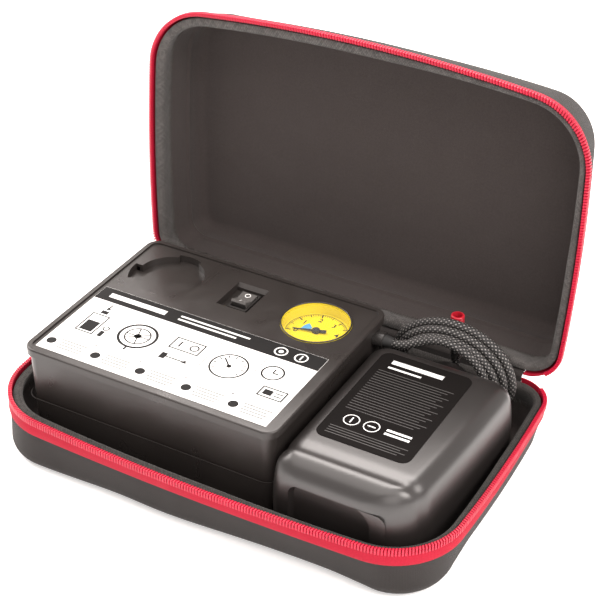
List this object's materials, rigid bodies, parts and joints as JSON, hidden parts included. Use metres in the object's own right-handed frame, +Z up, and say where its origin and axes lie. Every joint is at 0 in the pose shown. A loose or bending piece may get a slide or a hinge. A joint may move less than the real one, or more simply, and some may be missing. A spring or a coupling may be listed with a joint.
{
  "type": "tyre repair kit",
  "caption": "Zip case, open, holding a 12 V air compressor with a pressure gauge, a sealant bottle lying on its side and a coiled air hose with a valve chuck.",
  "frame": {"origin": "centre of the case's underside, on the surface it stands on", "axes": "+X to the right of someone facing the open case, +Y towards the hinge, +Z up"},
  "size_m": [0.3134, 0.2596, 0.2344],
  "materials": {
    "case_fabric": "fine weave",
    "binding": "coarse weave",
    "zip_tape": "woven tape",
    "zip_teeth": "satin",
    "slider_metal": "satin",
    "housing": "fine grain",
    "rubber_black": "matte",
    "steel": "satin",
    "sheet_white": "printed film",
    "switch_black": "satin",
    "brass": "turned",
    "gauge_yellow": "satin",
    "clear_lens": "clear",
    "needle_black": "satin",
    "magnet": "raw",
    "aluminium": "cast",
    "wire_red": "satin",
    "bottle_black": "gloss",
    "sealant": "liquid",
    "cap_grey": "satin",
    "label_black": "printed film",
    "hose_braid": "braided",
    "chuck_red": "satin",
    "gear_white": "moulded"
  },
  "bodies": {
    "case": {"case_base_shell": "case_fabric", "base_edge_binding": "binding", "base_zip_chain": "zip_teeth", "base_zip_tape": "zip_tape", "fabric_hinge": "zip_tape", "zip_slider": "slider_metal", "housing_tub": "housing", "top_cover": "housing", "rubber_feet": "rubber_black", "housing_screws": "steel", "instruction_sheet": "sheet_white", "lead_gland": "rubber_black", "switch_body": "switch_black", "switch_terminals": "brass", "gauge_cup": "gauge_yellow", "gauge_lens": "clear_lens", "gauge_dial": "gauge_yellow", "gauge_movement": "brass", "gauge_stem": "brass", "bourdon_tube": "brass", "motor_can": "steel", "motor_end_cap": "switch_black", "motor_magnets": "magnet", "crank_bush": "brass", "pump_frame": "steel", "frame_screws": "steel", "pump_cylinder": "aluminium", "cylinder_head": "aluminium", "head_screws": "steel", "pressure_tee": "brass", "delivery_pipe": "aluminium", "outlet_pipe": "aluminium", "inner_wires": "wire_red", "bottle_shell": "bottle_black", "sealant_fill": "sealant", "cap_gasket": "rubber_black", "bottle_cap": "cap_grey", "bottle_label": "label_black", "air_hose": "hose_braid", "hose_nut": "switch_black", "hose_boot": "rubber_black", "chuck_ferrule": "steel", "valve_chuck": "chuck_red", "chuck_seal": "rubber_black"},
    "lid": {"case_lid_shell": "case_fabric", "lid_edge_binding": "binding", "lid_zip_chain": "zip_teeth", "lid_zip_tape": "zip_tape"},
    "zip_tab": {"zip_pull": "chuck_red"},
    "rocker": {"rocker": "switch_black"},
    "needle": {"gauge_needle": "needle_black"},
    "motor": {"motor_rotor": "steel", "motor_pinion": "brass"},
    "crank": {"crank_gear": "gear_white"},
    "piston": {"piston_rod": "aluminium", "piston_seal": "rubber_black"}
  },
  "joints": [
    {"name": "lid_hinge", "type": "hinge", "parent": "case", "child": "lid", "pos_m": [0, 0.097, 0.04], "axis": [-1, 0, 0], "range_deg": [-93.5, 41.5], "deforming": ["fabric_hinge"]},
    {"name": "zip_tab_swing", "type": "hinge", "parent": "case", "child": "zip_tab", "pos_m": [-0.15756, 0.062, 0.03645], "axis": [0, 1, 0], "range_deg": [0, 110]},
    {"name": "rocker_tilt", "type": "hinge", "parent": "case", "child": "rocker", "pos_m": [-0.0439, 0.0429, 0.07], "axis": [1, 0, 0], "range_deg": [0, 22]},
    {"name": "needle_sweep", "type": "hinge", "parent": "case", "child": "needle", "pos_m": [0.0104, 0.0397, 0.068], "axis": [0, 0, 1], "range_deg": [-230, 0], "stiffness_Nm_per_rad": 0.0002},
    {"name": "motor_spin", "type": "hinge", "parent": "case", "child": "motor", "pos_m": [-0.06, -0.0364, 0.0304], "axis": [1, 0, 0], "continuous": true},
    {"name": "crank_spin", "type": "hinge", "parent": "case", "child": "crank", "pos_m": [-0.06, -0.0094, 0.0304], "axis": [1, 0, 0], "continuous": true},
    {"name": "piston_stroke", "type": "slide", "parent": "case", "child": "piston", "axis": [0, 1, 0], "range_m": [-0.014, 0]}
  ],
  "couplings": [
    {"joint": "crank_spin", "follows": "motor_spin", "ratio": -0.25}
  ]
}
